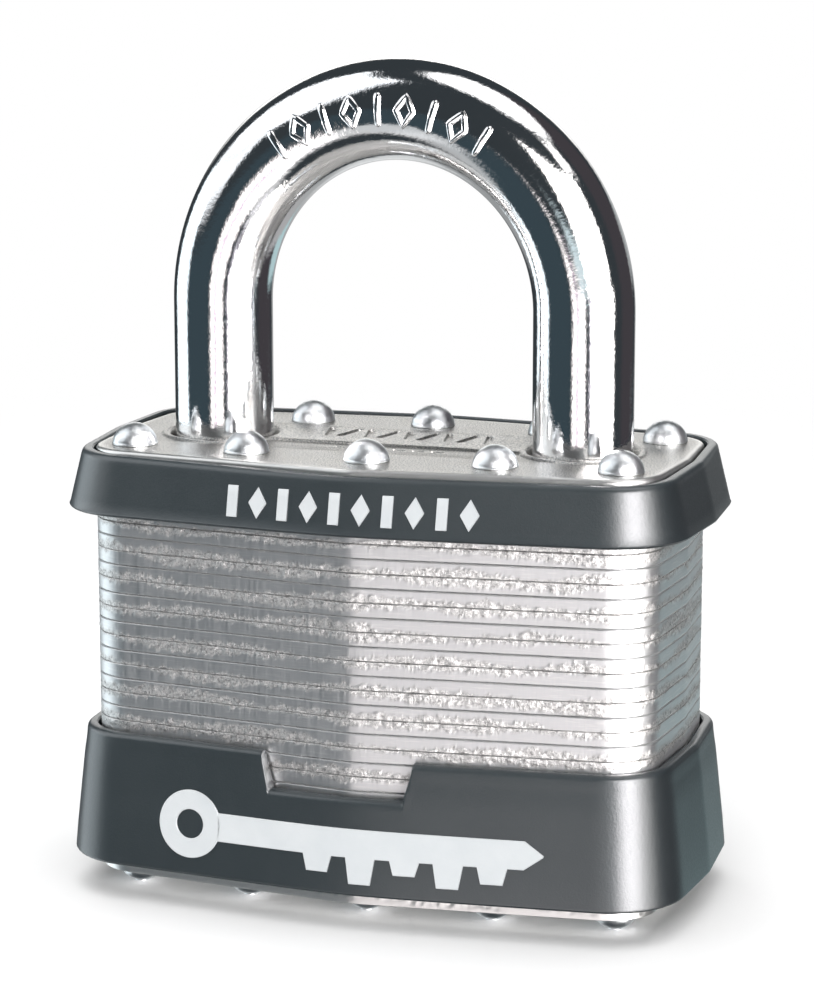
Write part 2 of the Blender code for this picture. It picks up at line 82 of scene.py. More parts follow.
# The shackle
TOE_TIP = STACK_TOP - 10.6
BAR_RADIUS = size("shackle")[1].y
LEG_X = size("shackle")[1].x - BAR_RADIUS
ARCH_START = STACK_TOP + 11.76
ARCH_HEIGHT = size("shackle")[1].z - BAR_RADIUS - ARCH_START
NECK_RADIUS = 2.9
NECK_DEPTHS = (8.6, 22.9)
NOTCH_DEPTHS = (4.9, 7.6)
NOTCH_FLOOR = 13.65
LEG_HOLE = 4.7
BAR_SIDES = 96

# The bumpers' outer walls: depth and offset from the plates
UPPER_WALL = ((0.4, 1.2), (5.3, 2.4))
LOWER_WALL = ((24.45, 1.15), (26.0, 1.3), (26.5, 1.42), (34.7, 2.33), (35.8, 2.4))
BUMPER_INSIDE = 0.25
GAP_X = (-7.7, 5.6)
GAP_SLANT = 0.9
GAP_DEPTH = 3.2
GAP_ROUND = 0.5
RIDGE_ROUND = 4.5

# Sheared edges: how much a sheet's torn face closes its gap and its clean face opens the other, and how far
# the edge is rounded
WEAK_CLOSING = 0.014
STRONG_OPENING = 0.02
EDGE_ROUND = 0.08

# How far the raised field of the top plate stands above the rest
ISLAND_RISE = 0.2

# Distance between the points along an outline
PLATE_SPACING = 0.22
TOP_SPACING = 0.3
BUMPER_SPACING = 0.5

WHITE = (1.0, 1.0, 1.0)


# ---------------------------------------------------------------- mesh building

class Shell:
    """A mesh in the making, in millimetres."""

    def __init__(self):
        self.points = []
        self.faces = []
        self.marks = {}

    def loop(self, points):
        first = len(self.points)
        self.points += [tuple(point) for point in points]
        return list(range(first, len(self.points)))

    def strip(self, upper, lower, closed=True):
        """Quads between two rows of equal length, facing outwards when the rows run anticlockwise."""
        count = len(upper)
        for i in range(count if closed else count - 1):
            j = (i + 1) % count
            self.faces.append((upper[j], upper[i], lower[i], lower[j]))

    def rows(self, rows, closed=True):
        for upper, lower in zip(rows, rows[1:]):
            self.strip(upper, lower, closed)

    def cap(self, outline, holes=(), up=True):
        """A flat face inside an outline, left open at its holes."""
        loops = [outline, *holes]
        flat = [index for loop in loops for index in loop]
        outlines = [[Vector((self.points[i][0], self.points[i][1], 0)) for i in loop] for loop in loops]
        for face in tessellate_polygon(outlines):
            a, b, c = (Vector(self.points[flat[i]][:2]) for i in face)
            turns_left = (b - a).cross(c - a) > 0
            order = face if turns_left == up else face[::-1]
            self.faces.append(tuple(flat[i] for i in order))

    def piece(self, name, body, slot, replaced=(), smooth=35, finish=None):
        """Makes the object, on a body and in place of CAD nodes. Its finish is its slot's unless given."""
        mesh = bpy.data.meshes.new(name)
        mesh.from_pydata([Vector(point) * MM for point in self.points], [], self.faces)
        mesh.validate()
        mesh.shade_smooth()
        mesh.set_sharp_from_angle(angle=radians(smooth))
        mesh.materials.append(finish or FINISHES[slot])
        for mark, values in self.marks.items():
            values += [0.0] * (len(self.points) - len(values))
            mesh.attributes.new(mark, "FLOAT", "POINT").data.foreach_set("value", values)
        made = bpy.data.objects.new(name, mesh)
        bpy.context.scene.collection.objects.link(made)
        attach(made, body)
        if replaced:
            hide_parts(*replaced)


def arc(centre, radius, start, end, steps):
    """Points from the start angle to the end angle, in degrees."""
    angles = [radians(start + (end - start) * i / steps) for i in range(steps + 1)]
    return [(centre[0] + radius * cos(a), centre[1] + radius * sin(a)) for a in angles]


def circle(centre, radius, steps):
    return arc(centre, radius, 0, 360, steps)[:-1]


def between(start, end, spacing):
    """Even values from the start up to, but not including, the end."""
    steps = max(1, round(abs(end - start) / spacing))
    return [start + (end - start) * i / steps for i in range(steps)]


def corner_centre():
    """The centre of the rounded corner at +X +Y, which touches the leaning side and the leaning back."""
    side = (cos(SIDE_LEAN), sin(SIDE_LEAN))
    back = (sin(FRONT_LEAN), cos(FRONT_LEAN))
    reach_side = HALF_WIDTH * side[0] - CORNER_RADIUS
    reach_back = HALF_DEPTH * back[1] - CORNER_RADIUS
    cross = side[0] * back[1] - side[1] * back[0]
    x = (reach_side * back[1] - reach_back * side[1]) / cross
    y = (reach_back * side[0] - reach_side * back[0]) / cross
    return x, y


def outline(spacing, fine_x=()):
    """The plates' outline, anticlockwise from +X, as pairs of a point and its outward normal.

    The front also gets a point at each of the fine X values.
    """
    centre = corner_centre()
    side_angle, back_angle = degrees(SIDE_LEAN), 90 - degrees(FRONT_LEAN)
    steps = round(CORNER_RADIUS * radians(back_angle - side_angle) / spacing)
    corner = arc(centre, CORNER_RADIUS, side_angle, back_angle, steps)
    start_y, end_x = corner[0][1], corner[-1][0]
    quarter = []
    for y in between(0, start_y, spacing):
        lean = SIDE_LEAN if y > 0 else 0
        quarter.append(((HALF_WIDTH - y * tan(SIDE_LEAN), y), (cos(lean), sin(lean))))
    for x, y in corner:
        quarter.append(((x, y), ((x - centre[0]) / CORNER_RADIUS, (y - centre[1]) / CORNER_RADIUS)))
    back_x = sorted({*between(0, end_x, spacing), *(abs(x) for x in fine_x if abs(x) < end_x)}, reverse=True)
    for x in back_x[:-1]:
        quarter.append(((x, HALF_DEPTH - x * tan(FRONT_LEAN)), (sin(FRONT_LEAN), cos(FRONT_LEAN))))
    ridge = [((0, HALF_DEPTH), (0, 1))]
    other = [((-x, y), (-nx, ny)) for (x, y), (nx, ny) in reversed(quarter)]
    half = quarter + ridge + other
    return half + [((-x, -y), (-nx, -ny)) for (x, y), (nx, ny) in half[1:-1]]


def offset_row(ring, offsets, z):
    """A row of points at a height, moved out from the plates' outline."""
    return [(x + nx * off, y + ny * off, z) for ((x, y), (nx, ny)), off in zip(ring, offsets)]


def ridge_fall(x, y, rounding):
    """How much a rounded ridge, in the middle of the front and the back, lies inside a sharp one."""
    straight = HALF_WIDTH - CORNER_RADIUS
    if abs(x) > straight or abs(y) < HALF_DEPTH / 2:
        return 0.0
    at_end = (straight ** 2 + rounding ** 2) ** 0.5 - straight
    return tan(FRONT_LEAN) * max(0.0, (x * x + rounding ** 2) ** 0.5 - abs(x) - at_end)


def ruffle(x, y, z, scale):
    """Smooth noise about 0, with features of about the given size."""
    return noise.noise(Vector((x, y, z)) / scale)


# ---------------------------------------------------------------- materials

def add_node(tree, kind, inputs=None, **settings):
    """A node whose inputs are numbers, colours or other nodes' sockets."""
    made = tree.nodes.new(kind)
    for name, value in settings.items():
        setattr(made, name, value)
    for name, value in (inputs or {}).items():
        if isinstance(value, bpy.types.NodeSocket):
            tree.links.new(value, made.inputs[name])
        else:
            made.inputs[name].default_value = value
    return made


def new_material(name, metallic, **constants):
    made = bpy.data.materials.new(name)
    made.use_nodes = True
    shader = made.node_tree.nodes["Principled BSDF"]
    shader.inputs["Metallic"].default_value = metallic
    for key, value in constants.items():
        shader.inputs[key.replace("_", " ")].default_value = value
    return made, made.node_tree, shader


def place_texture(tree, stretch=(1, 1, 1)):
    """Millimetre coordinates fixed to the piece."""
    where = add_node(tree, "ShaderNodeTexCoord")
    inputs = {"Vector": where.outputs["Object"], "Scale": tuple(s / MM for s in stretch)}
    return add_node(tree, "ShaderNodeMapping", inputs).outputs[0]


def noise_of(tree, place, feature, detail=3.0, roughness=0.55):
    inputs = {"Vector": place, "Scale": 1 / feature, "Detail": detail, "Roughness": roughness}
    return add_node(tree, "ShaderNodeTexNoise", inputs).outputs["Fac"]


def graded(tree, value, low, high, start, end, smooth=False):
    """The value from low to high, mapped to the range from start to end."""
    kind = "SMOOTHSTEP" if smooth else "LINEAR"
    inputs = {"Value": value, "From Min": low, "From Max": high, "To Min": start, "To Max": end}
    return add_node(tree, "ShaderNodeMapRange", inputs, interpolation_type=kind).outputs["Result"]


def mixed(tree, share, first, second):
    inputs = {"Factor": share, "A": (*first, 1.0) if isinstance(first, tuple) else first}
    inputs["B"] = (*second, 1.0) if isinstance(second, tuple) else second
    made = tree.nodes.new("ShaderNodeMix")
    made.data_type = "RGBA"
    sockets = {"Factor": made.inputs[0], "A": made.inputs[6], "B": made.inputs[7]}
    for name, value in inputs.items():
        if isinstance(value, bpy.types.NodeSocket):
            tree.links.new(value, sockets[name])
        else:
            sockets[name].default_value = value
    return made.outputs[2]


def combined(tree, operation, first, second):
    return add_node(tree, "ShaderNodeMath", {0: first, 1: second}, operation=operation).outputs[0]


def bumped(tree, shader, layers):
    """Bumps from pairs of a height and its depth in millimetres."""
    normal = None
    for height, depth in layers:
        inputs = {"Height": height, "Distance": depth * MM}
        if normal:
            inputs["Normal"] = normal
        normal = add_node(tree, "ShaderNodeBump", inputs).outputs["Normal"]
    tree.links.new(normal, shader.inputs["Normal"])


def plate_steel():
    """Sheared sheet edges: dragged, shiny metal, and a torn, sparkling band where the mesh says so."""
    made, tree, shader = new_material("plate_steel", 1.0)
    place = place_texture(tree)
    torn = add_node(tree, "ShaderNodeAttribute", attribute_name="torn").outputs["Fac"]
    drags = noise_of(tree, place_texture(tree, (1, 1, 0.05)), 0.13, 2.0)
    layers = noise_of(tree, place_texture(tree, (0.06, 0.06, 1)), 0.12, 2.0)
    specks = noise_of(tree, place, 0.2, 4.0, 0.75)
    flecks = graded(tree, noise_of(tree, place, 0.3, 2.0, 0.6), 0.57, 0.64, 0.0, 1.0)
    bright = mixed(tree, drags, (0.71, 0.725, 0.73), (0.80, 0.79, 0.785))
    bright = mixed(tree, graded(tree, layers, 0.55, 0.7, 0.0, 0.5), bright, (0.95, 0.94, 0.92))
    grain = mixed(tree, graded(tree, specks, 0.38, 0.62, 0.0, 1.0), (0.50, 0.49, 0.48), (0.86, 0.845, 0.825))
    grain = mixed(tree, combined(tree, "MULTIPLY", flecks, 0.5), grain, (0.14, 0.13, 0.13))
    tree.links.new(mixed(tree, torn, bright, grain), shader.inputs["Base Color"])
    polished = graded(tree, drags, 0.3, 0.7, 0.36, 0.46)
    dulled = graded(tree, torn, 0, 1, 0, 0.03)
    tree.links.new(combined(tree, "ADD", polished, dulled), shader.inputs["Roughness"])
    torn_height = combined(tree, "MULTIPLY", torn, specks)
    bumped(tree, shader, [(drags, 0.004), (layers, 0.004), (torn_height, 0.05)])
    return made


def end_plate_zinc():
    """The grainy, warm grey faces of the top and bottom plates. Where the mesh marks it, the dark grain and
    most of the grain's bumps give way to a plain bright colour. This is painted light: a painted reflection
    of the floor over the bottom plate, and a painted highlight along the top plate's rolled edge.
    """
    made, tree, shader = new_material("end_plate_zinc", 1.0)
    place = place_texture(tree)
    grain = noise_of(tree, place, 0.15, 3.0, 0.8)
    cloud = noise_of(tree, place, 3.0, 3.0)
    warm = mixed(tree, cloud, (0.80, 0.76, 0.70), (0.93, 0.92, 0.90))
    # Mask for painted light: painted highlight on the top plate's rolled edge, painted reflection over the
    # bottom plate
    painted_sheen = add_node(tree, "ShaderNodeAttribute", attribute_name="painted_sheen").outputs["Fac"]
    colour = mixed(tree, graded(tree, grain, 0.42, 0.56, 0.0, 1.0), (0.30, 0.31, 0.31), warm)
    # The marked parts take a plain bright colour in place of the grain: painted highlight and painted
    # reflection
    tree.links.new(mixed(tree, painted_sheen, colour, (0.82, 0.81, 0.79)), shader.inputs["Base Color"])
    tree.links.new(graded(tree, grain, 0.3, 0.7, 0.44, 0.28), shader.inputs["Roughness"])
    rest = graded(tree, painted_sheen, 0.0, 1.0, 1.0, 0.1)
    bumped(tree, shader, [(combined(tree, "MULTIPLY", grain, rest), 0.035), (cloud, 0.05)])
    return made


def chrome():
    """Bright plating with a faint ripple that roughens the edges of what it reflects."""
    made, tree, shader = new_material("chrome", 1.0, Base_Color=(0.90, 0.895, 0.90, 1.0))
    place = place_texture(tree)
    ripple = noise_of(tree, place, 0.45, 3.0, 0.65)
    waves = noise_of(tree, place, 5.0, 1.0)
    tree.links.new(graded(tree, ripple, 0.3, 0.7, 0.04, 0.10), shader.inputs["Roughness"])
    bumped(tree, shader, [(ripple, 0.015), (waves, 0.05)])
    return made


def rivet_steel():
    """Zinc-plated heads, a little cloudy."""
    made, tree, shader = new_material("rivet_steel", 1.0)
    place = place_texture(tree)
    cloud = noise_of(tree, place, 0.9, 3.0)
    grain = noise_of(tree, place, 0.15, 3.0, 0.7)
    tree.links.new(mixed(tree, cloud, (0.80, 0.84, 0.86), (0.95, 0.95, 0.95)), shader.inputs["Base Color"])
    tree.links.new(graded(tree, cloud, 0.3, 0.7, 0.30, 0.42), shader.inputs["Roughness"])
    bumped(tree, shader, [(grain, 0.012), (cloud, 0.06)])
    return made


def bumper_plastic():
    """Dark slate moulded plastic with a fine satin texture."""
    made, tree, shader = new_material("bumper_plastic", 0.0, IOR=1.8, Coat_Weight=0.3, Coat_Roughness=0.27)
    place = place_texture(tree)
    cloud = noise_of(tree, place, 6.0, 3.0)
    pores = noise_of(tree, place, 0.2, 3.0, 0.7)
    colour = mixed(tree, cloud, (0.017, 0.024, 0.028), (0.027, 0.035, 0.039))
    tree.links.new(colour, shader.inputs["Base Color"])
    tree.links.new(graded(tree, pores, 0.3, 0.7, 0.29, 0.39), shader.inputs["Roughness"])
    bumped(tree, shader, [(pores, 0.016), (cloud, 0.02)])
    return made


def white_paint():
    made, tree, shader = new_material("white_paint", 0.0, Coat_Weight=0.2)
    place = place_texture(tree)
    pores = noise_of(tree, place, 0.3, 3.0, 0.7)
    colour = mixed(tree, noise_of(tree, place, 3.0), (0.52, 0.55, 0.57), (0.62, 0.64, 0.65))
    tree.links.new(colour, shader.inputs["Base Color"])
    tree.links.new(graded(tree, pores, 0.3, 0.7, 0.38, 0.52), shader.inputs["Roughness"])
    bumped(tree, shader, [(pores, 0.01)])
    return made


def worked_metal(name, dark, light, feature, low, high, depth):
    """An inner metal part: two tones in a fine grain, with roughness between two values."""
    made, tree, shader = new_material(name, 1.0)
    place = place_texture(tree)
    grain = noise_of(tree, place, feature, 4.0, 0.65)
    cloud = noise_of(tree, place, feature * 12, 2.0)
    # MULTIPLY_ADD also adds the node's third value, which is left at 0.5
    tone = combined(tree, "MULTIPLY_ADD", grain, 0.5)
    share = combined(tree, "MULTIPLY_ADD", cloud, tone)
    tree.links.new(mixed(tree, share, dark, light), shader.inputs["Base Color"])
    tree.links.new(graded(tree, grain, 0.3, 0.7, low, high), shader.inputs["Roughness"])
    bumped(tree, shader, [(grain, depth)])
    return made


# The inner metals: dark and light tone, grain size, lowest and highest roughness, and grain depth
WORKED_METALS = {
    "spring_steel": ((0.30, 0.30, 0.31), (0.62, 0.62, 0.61), 0.2, 0.25, 0.4, 0.006),
    "lever_steel": ((0.34, 0.33, 0.31), (0.68, 0.67, 0.64), 0.3, 0.3, 0.5, 0.01),
    "brass": ((0.58, 0.40, 0.16), (0.86, 0.68, 0.36), 0.25, 0.18, 0.34, 0.006),
    "shell_zinc": ((0.30, 0.31, 0.32), (0.58, 0.59, 0.59), 0.35, 0.4, 0.6, 0.02),
}
FINISHES = {
    "plate_steel": plate_steel(),
    "end_plate_zinc": end_plate_zinc(),
    "bumper_plastic": bumper_plastic(),
    "rivet_steel": rivet_steel(),
    "shackle_chrome": chrome(),
    **{slot: worked_metal(slot, *values) for slot, values in WORKED_METALS.items()},
}
MARK_WHITE = white_paint()


# ---------------------------------------------------------------- plates

def width_of(loop):
    return max(x for x, _ in loop) - min(x for x, _ in loop)


def inner_loops(node):
    """The openings in a CAD plate's upper face, each as a loop of X and Y, in millimetres."""
    mesh = frame["nodes"][node].data
    top = size(node)[1].z
    level = {i for i, v in enumerate(mesh.vertices) if abs(v.co.z / MM - top) < 0.001}
    key = {i: (round(mesh.vertices[i].co.x / MM, 3), round(mesh.vertices[i].co.y / MM, 3)) for i in level}
    edges = {}
    for face in mesh.polygons:
        corners = list(face.vertices)
        if not all(i in level for i in corners):
            continue
        for a, b in zip(corners, corners[1:] + corners[:1]):
            edge = (key[a], key[b])
            if edge[::-1] in edges:
                del edges[edge[::-1]]
            else:
                edges[edge] = True
    following = {a: b for a, b in edges}
    loops = []
    while following:
        start, point = following.popitem()
        loop = [start]
        while point != start:
            loop.append(point)
            point = following.pop(point)
        loops.append(loop)
    loops.sort(key=width_of)
    return loops[:-1]


def torn_reach(x, y, number):
    """How far the torn band reaches in from a sheet's torn face here, as a share of its thickness."""
    patch = 0.5 + 0.7 * ruffle(x + 37 * number, y, number, 8.0) + 0.25 * ruffle(x, y, 3.1 * number, 2.0)
    return patch + 0.22 * ruffle(x, y + 5 * number, 0, 0.6) + 0.22 * ruffle(x, y - 5 * number, 0, 0.22)


def edge_rows(shell, ring, top, bottom, number):
    """The sheared edge of one sheet, from its upper to its lower face. Sheets lie torn face to torn face."""
    torn_above = number % 2 == 0
    top += WEAK_CLOSING if torn_above else -STRONG_OPENING
    bottom -= -STRONG_OPENING if torn_above else WEAK_CLOSING
    thickness = top - bottom
    near = (0.0, 0.02, 0.06, 0.12)
    middle = [near[-1] + (thickness - 2 * near[-1]) * i / 8 for i in range(1, 8)]
    drops = [*near, *middle, *(thickness - step for step in reversed(near))]
    lean = 0.02 * ruffle(0, 0, 3.7 * number, 1.0)
    reaches = [torn_reach(x, y, number) for (x, y), _ in ring]
    still = [lean + 0.02 * ruffle(x, y, number * 5.3, 9.0) + 0.004 * ruffle(x * 4 + number, y * 4, 0, 1.0)
             - ridge_fall(x + 0.25 * ruffle(number, 0, 0, 0.7), y, 0.5) for (x, y), _ in ring]
    torn_marks = shell.marks.setdefault("torn", [])
    rows = []
    for drop in drops:
        z = top - drop
        share = drop / thickness
        from_torn = share if torn_above else 1 - share
        near_face = min(drop, thickness - drop)
        inset = EDGE_ROUND * (1 - min(1.0, near_face / EDGE_ROUND)) ** 2
        ends = 1.0 if near_face > 0.01 else 0.0
        offsets = []
        for ((x, y), _), reach, base in zip(ring, reaches, still):
            torn = max(0.0, min(1.0, (reach - from_torn) * 4.5)) * ends
            rough = 0.0
            if torn:
                rough = 0.075 * ruffle(x + 11 * number, y, z, 0.33) + 0.03 * ruffle(x, y + number, z, 0.9)
            offsets.append(base - inset + torn * (rough - 0.015))
            torn_marks.append(torn)
        rows.append(shell.loop(offset_row(ring, offsets, z)))
    shell.rows(rows)
    return rows[0], rows[-1]


def make_plate(node, number, slot):
    """A plate with a sheared edge and the CAD's openings. A zinc one is painted plain bright all over, as a
    painted reflection of the floor.
    """
    shell = Shell()
    ring = outline(PLATE_SPACING)
    low, high = size(node)
    upper, lower = edge_rows(shell, ring, high.z, low.z, number)
    top_z, bottom_z = shell.points[upper[0]][2], shell.points[lower[0]][2]
    openings = inner_loops(node)
    tops = [shell.loop((x, y, top_z) for x, y in loop) for loop in openings]
    bottoms = [shell.loop((x, y, bottom_z) for x, y in loop) for loop in openings]
    for top, bottom in zip(tops, bottoms):
        shell.strip(top, bottom)
    shell.cap(upper, tops)
    shell.cap(lower, bottoms, up=False)
    # A zinc plate gets a painted reflection of the floor: a plain bright colour all over
    if slot == "end_plate_zinc":
        shell.marks["painted_sheen"] = [1.0] * len(shell.points)
    shell.piece(f"{node}_sheared", "lock_body", slot, [node])


def island_outline(grow):
    """The raised field round both shackle holes, grown outwards."""
    collar = 5.3 + grow
    front, back = -(2.0 + grow), 5.6 + grow
    join = degrees(acos(-front / collar))
    end_x = LEG_X + collar - 1.6
    right = arc((LEG_X, 0), collar, 270 - join, 360, 22)
    right += arc((end_x - 2.2, back - 3.2), 3.2, 20, 90, 8)
    left = [(-x, y) for x, y in reversed(right)]
    return right + left


def stamped_marks():
    """Stamped dashes in the middle of the top plate, each as a start, an end and half its width.

    The long ones lie on the raised field, and the short ones in front of it.
    """
    long_dashes, short_dashes = [], []
    for i in range(9):
        x = -7.2 + 1.8 * i
        lean = 0.35 if i % 2 else -0.35
        long_dashes.append(((x - lean, 0.8), (x + lean, 4.1), 0.36))
    for i in range(6):
        x = -4.5 + 1.7 * i
        short_dashes.append(((x, -3.6), (x + 0.9, -3.6), 0.18))
    return long_dashes, short_dashes


def dash(start, end, half):
    """A thin rounded outline from one point to another, anticlockwise."""
    heading = degrees(atan2(end[1] - start[1], end[0] - start[0]))
    return arc(end, half, heading - 90, heading + 90, 5) + arc(start, half, heading + 90, heading + 270, 5)


def make_top_plate():
    """The top plate: a rolled edge, a shallow raised field round the shackle holes, and stamped dashes."""
    shell = Shell()
    ring = outline(TOP_SPACING)
    low, high = size("top_plate")
    roll = 0.38
    field = high.z
    raised = field + ISLAND_RISE
    rows = []
    for i in range(7):
        angle = pi / 2 * i / 6
        inset = roll * (1 - sin(angle))
        rows.append((inset, field - roll * (1 - cos(angle))))
    rows += [(0.0, low.z + 0.1), (0.1, low.z)]
    made = []
    for inset, z in rows:
        offsets = [0.02 * ruffle(x, y, 0, 7.0) - inset for (x, y), _ in ring]
        made.append(shell.loop(offset_row(ring, offsets, z)))
    shell.rows(made)
    # The rolled edge and the side are painted plain bright as a painted highlight, fading out over the first
    # millimetre of the field
    shell.marks["painted_sheen"] = [1.0] * len(shell.points)
    for inset, painted_sheen in ((0.6, 0.4), (1.0, 0.0)):
        made.insert(0, shell.loop(offset_row(ring, [-inset] * len(ring), field)))
        shell.strip(made[0], made[1])
        shell.marks["painted_sheen"] += [painted_sheen] * len(ring)
    openings = [loop for loop in inner_loops("top_plate") if width_of(loop) < LEG_HOLE]
    rivet_tops = [shell.loop((x, y, field) for x, y in loop) for loop in openings]
    rivet_bottoms = [shell.loop((x, y, low.z) for x, y in loop) for loop in openings]
    for top, bottom in zip(rivet_tops, rivet_bottoms):
        shell.strip(top, bottom)
    steps = ((0.35, 0.0), (0.22, 0.03), (0.1, 0.15), (0.0, 0.19), (-0.15, ISLAND_RISE))
    island = [shell.loop((x, y, field + up) for x, y in island_outline(grow)) for grow, up in steps]
    shell.rows(island[::-1])
    long_dashes, short_dashes = stamped_marks()
    shell.cap(made[0], rivet_tops + [island[0]] + stamp(shell, short_dashes, field))
    collar = []
    for grow, down in ((0.45, 0.0), (0.25, 0.04), (0.08, 0.15), (0.0, 0.35), (0.0, raised - low.z)):
        rings = [circle((side * LEG_X, 0), LEG_HOLE + grow, 64) for side in (-1, 1)]
        collar.append([shell.loop((x, y, raised - down) for x, y in points) for points in rings])
    for upper, lower in zip(collar, collar[1:]):
        for side in (0, 1):
            shell.strip(upper[side][::-1], lower[side][::-1])
    shell.cap(island[-1], collar[0] + stamp(shell, long_dashes, raised))
    shell.cap(made[-1], rivet_bottoms + collar[-1], up=False)
    shell.piece("top_plate_stamped", "lock_body", "end_plate_zinc", ["top_plate"])


def stamp(shell, marks, z):
    """Sinks dashes into a flat face at a height, and gives the loops that the face is left open at."""
    loops = []
    for start, end, half in marks:
        rim = shell.loop((x, y, z) for x, y in dash(start, end, half))
        wall = shell.loop((x, y, z - 0.22) for x, y in dash(start, end, half * 0.65))
        shell.strip(rim[::-1], wall[::-1])
        shell.cap(wall)
        loops.append(rim)
    return loops


# ---------------------------------------------------------------- rivets

def turned(shell, profile, centre, steps, wobble=0.0):
    """A profile of radius and height pairs, from top to bottom, turned about a vertical axis."""
    rows = []
    for radius, z in profile:
        row = []
        for i in range(steps):
            angle = 2 * pi * i / steps
            x, y = cos(angle), sin(angle)
            grown = radius * (1 + wobble * ruffle(centre[0] + x, centre[1] + y, z, 1.1))
            row.append((centre[0] + grown * x, centre[1] + grown * y, z))
        rows.append(shell.loop(row))
    shell.rows(rows)
    shell.cap(rows[0])
    shell.cap(rows[-1], up=False)


def make_rivet(node):
    """A rivet with a round head at each end and a small lip where each head meets its plate."""
    low, high = size(node)
    centre = (low.x + high.x) / 2, (low.y + high.y) / 2
    radius = (high.x - low.x) / 2
    seat_top, seat_bottom = STACK_TOP, size("bottom_plate")[0].z
    lip, steps = 0.22, 14

    def dome(height, tip):
        """Radius and distance from the plate, from the dome's tip down to its lip."""
        curve = []
        for i in range(steps + 1):
            angle = pi / 2 * i / steps
            across = max(tip, (radius - 0.04) * sin(angle))
            curve.append((across, lip + (height - lip) * cos(angle) ** 1.15))
        return curve + [(radius, 0.17), (radius, 0.05), (radius - 0.12, 0)]

    upper = dome(high.z - seat_top, 0.02)
    lower = dome(seat_bottom - low.z, 0.6)
    shank = 1.4
    profile = [(r, seat_top + z) for r, z in upper] + [(shank, seat_top), (shank, seat_bottom)]
    profile += [(r, seat_bottom - z) for r, z in reversed(lower)]
    shell = Shell()
    turned(shell, profile, centre, 44, 0.012)
    shell.piece(f"{node}_domed", "lock_body", "rivet_steel", [node])


# ---------------------------------------------------------------- bumpers

def wall_offset(wall, depth):
    """The wall's offset from the plates at a depth."""
    for (depth_a, off_a), (depth_b, off_b) in zip(wall, wall[1:]):
        if depth <= depth_b:
            share = max(0.0, (depth - depth_a) / (depth_b - depth_a))
            return off_a + (off_b - off_a) * share
    return wall[-1][1]


def gap_drop(x, y):
    """How far the lower bumper's top edge drops here, for the gap in its front."""
    if y > 0:
        return 0.0
    middle = (GAP_X[0] + GAP_X[1]) / 2
    half = (GAP_X[1] - GAP_X[0]) / 2
    past = (half - abs(x - middle)) / GAP_SLANT
    share = max(0.0, min(1.0, past))
    ease = GAP_ROUND / GAP_DEPTH
    if share < ease:
        share = share * share / (2 * ease)
    elif share > 1 - ease:
        share = 1 - (1 - share) ** 2 / (2 * ease)
    return GAP_DEPTH * share


def rim_drop(x, y):
    """The upper bumper sits a little higher at the back and at the left end."""
    return -0.25 - 0.3 * (y / HALF_DEPTH) - 0.15 * max(0.0, -x / HALF_WIDTH)


def make_bumper(node, name, wall, drop):
    """A skirt round the plates, with a rounded rim and foot."""
    edges = [x + GAP_SLANT * step for x, step in ((GAP_X[0], 1), (GAP_X[1], -1))]
    starts = (GAP_X[0], edges[0] - 0.5, edges[1] - 0.5, GAP_X[1] - 0.9)
    fine = [x + i * 0.06 for x in starts for i in range(-3, 18)]
    ring = outline(BUMPER_SPACING, fine)
    top, bottom = wall[0][0], wall[-1][0]
    rim, foot, chamfer = 0.45, 0.35, 0.12
    drops = [drop(x, y) for (x, y), _ in ring]
    inner = BUMPER_INSIDE
    shell = Shell()

    def row(depth_of, offset_of):
        """A row whose depth follows the top edge's drop, and whose offset follows the depth."""
        points = []
        for ((x, y), (nx, ny)), fall in zip(ring, drops):
            depth = depth_of(fall)
            off = offset_of(depth)
            if off > inner + 0.15:
                off -= ridge_fall(x, y, RIDGE_ROUND)
            points.append((x + nx * off, y + ny * off, STACK_TOP - depth))
        return shell.loop(points)

    def outer(depth):
        return wall_offset(wall, depth)

    def rim_row(angle):
        down, inwards = rim * (1 - cos(angle)), rim * (1 - sin(angle))
        return row(lambda fall: top + fall + down, lambda depth: outer(depth) - inwards)

    def wall_row(share):
        start, end = top + rim, bottom - foot
        return row(lambda fall: start + fall + (end - start - fall) * share, outer)

    def foot_row(angle):
        up, inwards = foot * (1 - sin(angle)), foot * (1 - cos(angle))
        return row(lambda fall: bottom - up, lambda depth: outer(bottom) - inwards)

    rows = [row(lambda fall: top + fall + chamfer, lambda depth: inner)]
    rows.append(row(lambda fall: top + fall, lambda depth: inner + chamfer))
    rows += [rim_row(pi / 2 * i / 6) for i in range(7)]
    rows += [wall_row(share) for share in (0.06, 0.12, 0.2, 0.3, 0.45, 0.6, 0.8, 1.0)]
    rows += [foot_row(pi / 2 * i / 5) for i in range(1, 6)]
    rows.append(row(lambda fall: bottom, lambda depth: inner + chamfer))
    rows.append(row(lambda fall: bottom - chamfer, lambda depth: inner))
    rows.append(rows[0])
    shell.rows(rows)
    shell.piece(name, "lock_body", "bumper_plastic", [node])


# ---------------------------------------------------------------- raised marks

def front_wall(wall, x, depth, lift):
    """The point on a bumper's front wall at an X and a depth, lifted off it."""
    off = wall_offset(wall, depth) / cos(FRONT_LEAN) + lift - ridge_fall(x, -HALF_DEPTH, RIDGE_ROUND)
    return x, -(HALF_DEPTH + off) + tan(FRONT_LEAN) * abs(x), STACK_TOP - depth


